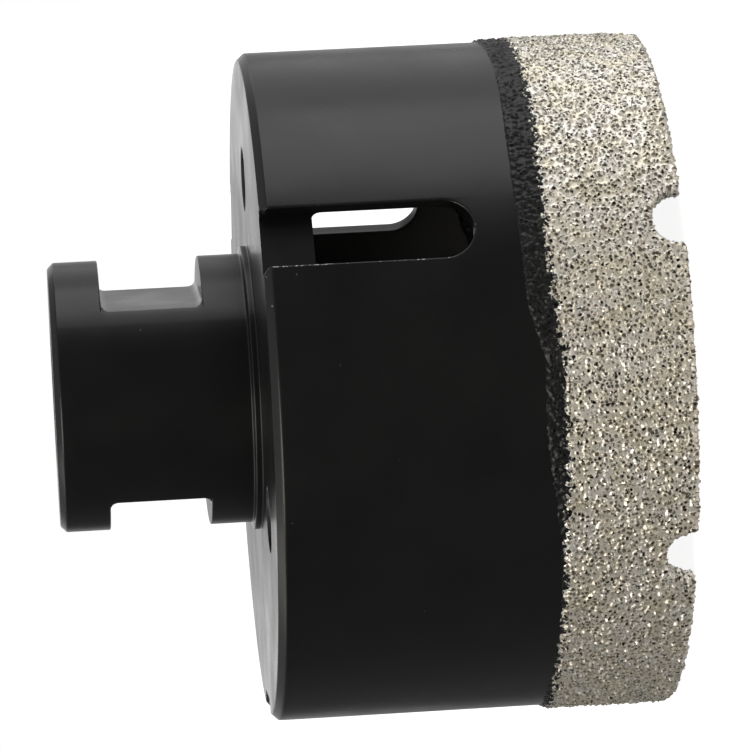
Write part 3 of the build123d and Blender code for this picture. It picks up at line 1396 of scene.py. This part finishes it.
@dataclass
class GritCoat:
    """One layer of diamond in nickel braze, outside, under and inside the mouth.

    The steel's own surface is laid out as a grid for each stretch between two gullets:
    columns follow the mouth's outline from the crown of one gullet to the crown of the next,
    rows run from the coat's upper end outside, down, under the edge and up inside. Every
    point is then lifted along the surface's normal to the top of the braze or of the grain
    that it meets.
    """

    finish: bpy.types.Material
    mouth: Mouth = Mouth()
    grains: Grains = Grains()
    height: float = 15.0
    reach: float = 17.0  # top row, above the highest grain
    thickness: float = 0.5
    step: float = 0.122
    inner_step: float = 0.40
    ease: float = 0.12  # rounding of the steel's edges under the coat
    braze: float = 0.18  # depth of the alloy between grains
    meniscus: float = 0.20  # how far it climbs a grain
    meniscus_width: float = 0.07
    clump: float = 0.62  # spacing of the lumps where the coating drowns the grains
    dab: float = 0.27  # their height
    drowned: float = 0.6  # how far the lumps take the grains' place, from 0 to 1
    end_low: float = 0.3  # how far the coat's upper end lies below its height
    end_raised: float = 1.15  # how much higher it is on the raised side
    end_sunk: float = 1.2  # how much lower on the sunk side
    scatter: float = 0.9  # height over which the last grains thin out
    line: float = 12.6  # height down to which the black coating runs
    line_raised: float = 0.5  # how much higher that is on the raised side
    wander: float = 0.15  # how far both wave round the barrel

    def build(self) -> list[bpy.types.Object]:
        """Make one piece for each stretch between gullets.

        Returns:
            The pieces.
        """
        pieces = []
        for number, (start, end) in enumerate(stretches(self.mouth.stations()), 1):
            base, normal = self.lay_out(start, end)
            flat, out = base.reshape(-1, 3), normal.reshape(-1, 3)
            seat = flat + out * self.grains.skin
            lift = self.fade(flat, self.strew(flat, out, seat))
            points = flat + out * lift[:, None]
            points[:, 2] = np.maximum(points[:, 2], 0.0)
            work = Patchwork()
            work.add(points.reshape(base.shape))
            piece = work.build(f"grit_coat_{number}", self.finish)
            set_attribute(piece, "seat", seat)
            set_attribute(piece, "above_line", self.above_line(flat))
            pieces.append(piece)
        return pieces

    def outline(self, start: float, end: float) -> tuple[np.ndarray, np.ndarray, np.ndarray]:
        """Follow the steel's edge from one gullet's crown to the next.

        The line is a quarter turn down a gullet's flank, a level run, and a quarter turn up
        the next flank, in (arc length, height). It is evenly stepped.

        Args:
            start: compass angle of the first gullet, in radians.
            end: compass angle of the next one.

        Returns:
            Points, their outward normals, and each column's arc length at the coat's top.
        """
        mouth = self.mouth
        run = (end - start) * mouth.outer
        flank = math.pi / 2 * mouth.gullet
        level = run - 2 * mouth.gullet
        count = int(round((2 * flank + level) / self.step))
        along = np.linspace(0.0, 2 * flank + level, count)
        near = np.minimum(along, 2 * flank + level - along)  # distance from the nearer crown
        turn = np.clip(near / mouth.gullet, 0.0, math.pi / 2)
        offset = np.where(near < flank, mouth.gullet * np.sin(turn), mouth.gullet + near - flank)
        height = mouth.edge + np.where(near < flank, mouth.gullet * np.cos(turn), 0.0)
        mirror = np.where(along * 2 < 2 * flank + level, 1.0, -1.0)
        arc = np.where(mirror > 0, offset, run - offset)
        # The normal points into the gullet's hole on a flank and down on the level run,
        # and swings between the two within a short stretch round the corner.
        corner = smoothstep(flank - self.step, flank + self.step, near)
        sideways = -np.sin(turn) * mirror * (1 - corner)
        upwards = -np.cos(turn) * (1 - corner) - corner
        normal = np.stack([sideways, upwards], axis=-1)
        normal /= np.linalg.norm(normal, axis=-1, keepdims=True)
        return np.stack([arc, height], axis=-1), normal, np.linspace(0.0, run, count)

    def lay_out(self, start: float, end: float) -> tuple[np.ndarray, np.ndarray]:
        """Lay the grid over the steel's surface, with the direction that each point lifts in.

        Args:
            start: compass angle of the first gullet, in radians.
            end: compass angle of the next one.

        Returns:
            rows x columns x 3 points and unit normals.
        """
        mouth = self.mouth
        line, outward, top = self.outline(start, end)
        drop = self.reach - mouth.edge
        bend = np.linspace(0.0, math.pi / 2, 4)[1:-1, None]
        under = np.linspace(0.0, 1.0, 9)[:, None]
        seat = line - outward * self.ease  # where the outside starts to round under

        def upright(radius: float, share: np.ndarray, tilt: float) -> list[np.ndarray | float]:
            """Rows on a side of the wall, by their share of the way down."""
            arc = top + (seat[:, 0] - top) * share
            return [radius, arc, self.reach + (seat[:, 1] - self.reach) * share, tilt]

        def rounding(radius: float, turn: np.ndarray, side: float) -> list[np.ndarray | float]:
            """Rows round the wall's edge, whose side is 1 for the outer edge, -1 for the inner."""
            back = radius - side * self.ease * (1 - np.cos(turn))
            row = line[None] - outward[None] * (self.ease * (1 - np.sin(turn)))[..., None]
            return [back, row[..., 0], row[..., 1], turn if side > 0 else math.pi - turn]

        fall = np.linspace(0.0, 1.0, round(drop / self.step))[:, None]
        inner_fall = np.linspace(1.0, 0.0, round(drop / self.inner_step))[:, None]
        flat = mouth.outer - self.ease + (mouth.inner - mouth.outer + 2 * self.ease) * under
        sheets = [
            upright(mouth.outer, fall, 0.0),
            rounding(mouth.outer, bend, 1.0),
            [flat, line[:, 0], line[:, 1], math.pi / 2],
            rounding(mouth.inner, bend[::-1], -1.0),
            upright(mouth.inner, inner_fall, math.pi),
        ]
        rows = [np.broadcast_arrays(*sheet) for sheet in sheets]
        radius, arc, height, tilt = (np.concatenate(parts) for parts in zip(*rows))

        angle = parallel_turn(start + arc / mouth.outer, mouth.stations(), mouth.outer, radius, mouth.gullet)
        out = np.stack([np.cos(angle), np.sin(angle), np.zeros_like(angle)], axis=-1)
        along = np.stack([-np.sin(angle), np.cos(angle), np.zeros_like(angle)], axis=-1)
        up = np.array([0.0, 0.0, 1.0])
        edge = along * outward[None, :, :1] + up * outward[None, :, 1:]
        normal = out * np.cos(tilt)[..., None] + edge * np.sin(tilt)[..., None]
        points = out * radius[..., None] + up * height[..., None]
        return points, normal

    @staticmethod
    def raised_side(angle: np.ndarray) -> np.ndarray:
        """From 0 to 1, the side of the barrel where coat and paint line stand higher."""
        return smoothstep(0.20, 0.42, np.cos(angle + math.radians(4.0)))

    @staticmethod
    def sunk_side(angle: np.ndarray) -> np.ndarray:
        """From 0 to 1, the side where the coat thins out lower down."""
        return smoothstep(0.10, -0.35, np.cos(angle + math.radians(4.0)))

    def upper_edge(self, points: np.ndarray) -> np.ndarray:
        """Find the height of the coat's upper end, which wanders a little round the barrel.

        Args:
            points: any array of x, y, z points.

        Returns:
            The height over or under each point.
        """
        angle = np.arctan2(points[..., 1], points[..., 0])
        shift = self.end_raised * self.raised_side(angle) - self.end_sunk * self.sunk_side(angle)
        return self.height - self.end_low + shift + self.wander * np.sin(7 * angle + 1.0)

    def strew(self, base: np.ndarray, normal: np.ndarray, seat: np.ndarray) -> np.ndarray:
        """Find how far each point lifts to clear the braze and the grains.

        A line along each point's normal is cut with every near grain's seven pairs of
        parallel faces; the last crossing is the grain's top. Round a grain the braze climbs
        by an exponential of the gap.

        Args:
            base: points x 3 on the steel.
            normal: their unit normals.
            seat: the points of the skin that the lattice is cut by.

        Returns:
            The lift of each point.
        """
        grains, spacing, axes = self.grains, Cell.GRAIN.value, self.grains.axes()
        top = np.full(len(base), -1.0)
        gap = np.full(len(base), 1.0)
        home = np.floor(seat / spacing).astype(int)
        cut_corners = [(1.0, 1.0, 1.0), (1.0, 1.0, -1.0), (1.0, -1.0, 1.0), (-1.0, 1.0, 1.0)]
        faces = np.concatenate([np.eye(3), cut_corners])
        limits = np.array([1.0] * 3 + [grains.corner] * 4)
        neighbours = np.stack(np.meshgrid(*[(-1, 0, 1)] * 3, indexing="ij"), axis=-1).reshape(-1, 3)
        for step in neighbours:
            cell = home + step
            chance = cell_chance(cell)
            centre = (cell + chance) * spacing
            size = grains.smallest + (grains.largest - grains.smallest) * chance[:, 0]
            limit = self.upper_edge(centre) + self.scatter * (chance[:, 1] - 0.5)
            away = np.linalg.norm(seat - centre, axis=-1)
            near = np.flatnonzero((away < size * 1.5) & (centre[:, 2] < limit))
            turned = axes[(chance[near, 2] * grains.turns).astype(int) % grains.turns]
            start = np.einsum("nij,nj->ni", turned, base[near] - centre[near]) / size[near, None]
            way = np.einsum("nij,nj->ni", turned, normal[near]) / size[near, None]
            at = start @ faces.T
            speed = way @ faces.T
            speed = np.where(np.abs(speed) < 1e-6, 1e-6, speed)
            first = (-limits - at) / speed
            last = (limits - at) / speed
            enter = np.minimum(first, last).max(axis=-1)
            leave = np.maximum(first, last).min(axis=-1)
            top[near] = np.maximum(top[near], np.where(enter < leave, leave, -1.0))
            level = start + way * self.braze
            norm = (np.abs(level @ faces.T) / limits).max(axis=-1)
            gap[near] = np.minimum(gap[near], (norm - 1.0) * size[near])
        level = self.braze + self.meniscus * np.exp(-np.maximum(gap, 0.0) / self.meniscus_width)
        grain = smoothstep(-0.02, 0.05, -gap)
        lift = level + (np.maximum(top, 0.05) - level) * grain
        # Under the coating only round lumps and the grains' soft swellings are left.
        swelling = 0.4 * smoothstep(0.16, -0.12, gap)
        lumps = 0.04 + self.dab * (round_lumps(seat, self.clump) + swelling)
        lift += (lumps - lift) * self.drowned * smoothstep(-0.3, 0.5, self.above_line(base))
        return np.clip(lift, 0.0, self.thickness)

    def fade(self, base: np.ndarray, lift: np.ndarray) -> np.ndarray:
        """Sink the braze into the steel above the coat's upper end, between its last grains.

        Args:
            base: points x 3 on the steel.
            lift: how far each point lifts.

        Returns:
            The lift that is left.
        """
        soft = 1.0 - self.raised_side(np.arctan2(base[:, 1], base[:, 0]))
        above = base[:, 2] - self.upper_edge(base) + 0.4 * soft
        over = smoothstep(-0.2, 0.15, above / (1.0 + 3.0 * soft))
        return lift * (1 - over) - over * 0.08

    def above_line(self, base: np.ndarray) -> np.ndarray:
        """Measure the height above the line that the black coating runs down to.

        Args:
            base: any array of x, y, z points.

        Returns:
            The height in mm, negative below the line.
        """
        angle = np.arctan2(base[..., 1], base[..., 0])
        line = self.line + self.line_raised * self.raised_side(angle) + self.wander * np.sin(5 * angle)
        return base[..., 2] - line


# ---------------------------------------------------------------- studio


def direction(azimuth: float, elevation: float) -> Vector:
    """Unit vector towards a compass angle from +X and an elevation, both in degrees."""
    around, rise = math.radians(azimuth), math.radians(elevation)
    return Vector((math.cos(rise) * math.cos(around), math.cos(rise) * math.sin(around), math.sin(rise)))


@dataclass(frozen=True)
class Viewpoint:
    """Where the camera stands and how it is held. Lengths in mm, angles in degrees."""

    azimuth: float = -82.17  # of the camera, about the bit's axis from +X
    distance: float = 425.05  # from the axis, level
    height: float = 62.13
    heading: float = 97.753  # compass angle that the camera looks along, from +X
    pitch: float = -4.642
    roll: float = -93.066  # lays the upright bit on its side, hub to the left
    lens: float = 203.08
    sensor: float = 36.0

    def place(self) -> bpy.types.Object:
        """Create the camera and make it the scene's.

        Returns:
            The camera object.
        """
        data = bpy.data.cameras.new("camera")
        data.lens = self.lens
        data.sensor_width = self.sensor
        data.clip_start = 0.01
        camera = bpy.data.objects.new("camera", data)
        bpy.context.collection.objects.link(camera)
        place = direction(self.azimuth, 0.0) * self.distance
        place.z = self.height
        turn = (
            Matrix.Rotation(math.radians(self.heading - 90), 4, "Z")
            @ Matrix.Rotation(math.radians(90 + self.pitch), 4, "X")
            @ Matrix.Rotation(math.radians(self.roll), 4, "Z")
        )
        camera.matrix_world = Matrix.Translation(place * MM) @ turn
        bpy.context.scene.camera = camera
        return camera


@dataclass(frozen=True)
class Softbox:
    """A flat square-on light. Angles in degrees about the bit, lengths in metres."""

    name: str
    azimuth: float  # compass angle from +X
    elevation: float
    distance: float
    width: float
    height: float
    radiance: float  # brightness of its face, where 1 is the white of the background
    colour: str = "#ffffff"

    def place(self, target: Vector) -> bpy.types.Object:
        """Hang the light so that it faces a point.

        Args:
            target: the point that it is aimed at.

        Returns:
            The light object.
        """
        data = bpy.data.lights.new(self.name, "AREA")
        data.shape = "RECTANGLE"
        data.size = self.width
        data.size_y = self.height
        # A flat lamp of power P and area A has a face of brightness P / (pi A).
        data.energy = self.radiance * math.pi * self.width * self.height
        data.color = linear(self.colour)[:3]
        light = bpy.data.objects.new(self.name, data)
        bpy.context.collection.objects.link(light)
        out = direction(self.azimuth, self.elevation)
        place = target + out * self.distance
        light.matrix_world = Matrix.Translation(place) @ out.to_track_quat("Z", "Y").to_matrix().to_4x4()
        return light


@dataclass(frozen=True)
class Studio:
    """White floor, white surroundings and soft boxes.

    The black coating mirrors whatever surrounds it, so the room that the bit sees is dim but
    for a white backdrop behind it.
    """

    room_level: float = 0.10  # brightness of the room at eye level, as the bit sees it
    room_rise: float = 0.45  # how much brighter it gets towards the ceiling and the table
    floor_size: float = 6.0
    backdrop_reach: float = 12.0  # half-angle of the backdrop, seen from the bit, in degrees
    backdrop_rise: float = 7.0  # how high its middle is, in degrees
    paper: str = "#ffffff"  # of the backdrop
    sheet: str = "#bcbcbc"  # of the floor, as the bit is lit by it
    sheet_glow: float = 0.90  # brightness that the camera sees on the floor in full shadow
    warm: str = "#fffaf0"  # of the overhead lamps
    sandy: str = "#fff3e2"  # of the light thrown back by the table
    camera_side: float = -82.2  # compass angle of the camera, which the lamps stand by

    def build(self) -> None:
        """Make the world, the floor and the lamps."""
        self.light_world()
        self.lay_floor()
        for box in self.softboxes():
            box.place(Vector((0.0, 0.0, 0.03)))

    def softboxes(self) -> list[Softbox]:
        """The lamps round the bit.

        Returns:
            One softbox for each lamp.
        """
        side = self.camera_side
        return [
            Softbox("key_light", side + 85, 0, 0.75, 0.56, 0.70, 1.80),
            Softbox("key_wing", side + 128, 0, 0.75, 0.55, 0.70, 0.66),
            Softbox("front_overhead", side - 30, 45, 0.75, 0.45, 0.45, 4.2, self.warm),
            Softbox("side_overhead", side - 95, 50, 0.75, 0.40, 0.40, 1.4, self.warm),
            Softbox("table_bounce", side + 10, -45, 0.75, 0.45, 0.45, 1.22, self.sandy),
            Softbox("rear_edge", side - 165, 0, 0.75, 0.28, 0.70, 0.42),
            Softbox("rear_wing", side + 165, 0, 0.75, 0.28, 0.70, 0.62),
        ]

    def light_world(self) -> None:
        """Hang a white backdrop in a room that is dim at eye level.

        The camera sees white all round. The bit sees the white backdrop behind itself, and
        elsewhere the room.
        """
        world = bpy.data.worlds.new("studio")
        bpy.context.scene.world = world
        world.use_nodes = True
        tree = world.node_tree
        tree.nodes.clear()
        add = partial(add_node, tree)
        path = add("ShaderNodeLightPath")
        ray = add("ShaderNodeTexCoord").outputs["Generated"]
        height = add("ShaderNodeSeparateXYZ", {0: ray}).outputs["Z"]
        slope = add("ShaderNodeMath", {0: height}, operation="ABSOLUTE").outputs[0]
        level = add(
            "ShaderNodeMath",
            {0: slope, 1: self.room_rise, 2: self.room_level},
            operation="MULTIPLY_ADD",
        ).outputs[0]
        room = add("ShaderNodeBackground", {"Color": (1, 1, 1, 1), "Strength": level})
        white = add("ShaderNodeBackground", {"Color": linear(self.paper), "Strength": 1.0})
        behind = direction(self.camera_side + 180, self.backdrop_rise)
        facing = add("ShaderNodeVectorMath", {0: ray, 1: behind}, operation="DOT_PRODUCT")
        backdrop = add(
            "ShaderNodeMapRange",
            {
                "Value": facing.outputs["Value"],
                "From Min": math.cos(math.radians(self.backdrop_reach)),
                "From Max": math.cos(math.radians(self.backdrop_reach * 0.75)),
            },
        )
        mirrored = add(
            "ShaderNodeMath",
            {0: path.outputs["Is Glossy Ray"], 1: backdrop.outputs[0]},
            operation="MULTIPLY",
        )
        share = mirrored.outputs[0]
        for kind in ("Is Camera Ray", "Is Transmission Ray"):
            joined = add("ShaderNodeMath", {0: path.outputs[kind], 1: share}, operation="MAXIMUM")
            share = joined.outputs[0]
        seen = add(
            "ShaderNodeMixShader",
            {0: share, 1: room.outputs["Background"], 2: white.outputs["Background"]},
        )
        add("ShaderNodeOutputWorld", {"Surface": seen.outputs["Shader"]})

    def lay_floor(self) -> None:
        """Lay a white sheet under the bit: white to the camera, a plain pale floor to the bit.

        Glossy rays pass it, so that the coating mirrors the room, and shadow rays too, so that
        the light that a table throws back reaches the bit from below.
        """
        half = self.floor_size / 2
        mesh = bpy.data.meshes.new("floor")
        mesh.from_pydata(
            [(-half, -half, 0), (half, -half, 0), (half, half, 0), (-half, half, 0)],
            [],
            [(0, 1, 2, 3)],
        )
        floor = bpy.data.objects.new("floor", mesh)
        bpy.context.collection.objects.link(floor)
        material, tree = new_material("white_paper_floor")
        add = partial(add_node, tree)
        path = add("ShaderNodeLightPath")
        paper = add("ShaderNodeBsdfDiffuse", {"Color": linear(self.sheet)})
        glow = add("ShaderNodeEmission", {"Color": (1, 1, 1, 1), "Strength": self.sheet_glow})
        bright = add("ShaderNodeAddShader", {0: paper.outputs[0], 1: glow.outputs[0]})
        passing = add(
            "ShaderNodeMath",
            {0: path.outputs["Is Glossy Ray"], 1: path.outputs["Is Shadow Ray"]},
            operation="MAXIMUM",
        )
        clear = add("ShaderNodeBsdfTransparent")
        to_bit = add(
            "ShaderNodeMixShader", {0: passing.outputs[0], 1: paper.outputs[0], 2: clear.outputs[0]}
        )
        seen = add(
            "ShaderNodeMixShader",
            {0: path.outputs["Is Camera Ray"], 1: to_bit.outputs[0], 2: bright.outputs[0]},
        )
        add("ShaderNodeOutputMaterial", {"Surface": seen.outputs["Shader"]})
        mesh.materials.append(material)


# ---------------------------------------------------------------- main


def dress(piece: bpy.types.Object, node: str) -> None:
    """Fix a piece to the body in place of a solid, and hide the solid.

    Args:
        piece: the new piece.
        node: the solid's node.
    """
    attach(piece, BODY)
    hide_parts(node)


def main() -> None:
    """Build the finishes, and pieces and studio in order."""
    logging.basicConfig(level=logging.INFO, format="%(name)s: %(message)s")
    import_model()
    scene = bpy.context.scene
    scene.view_settings.view_transform = "Standard"

    coating = BlackCoating().build()
    dress(Arbor(coating).build(), "arbor")
    dress(Barrel(coating).build(), "barrel")
    dress(JointFillet(coating).build(), "barrel")
    grains = Grains()
    for piece in GritCoat(NickelBraze().build(grains), grains=grains).build():
        dress(piece, "diamond_coat")

    Studio().build()
    Viewpoint().place()


if __name__ == "__main__":
    main()
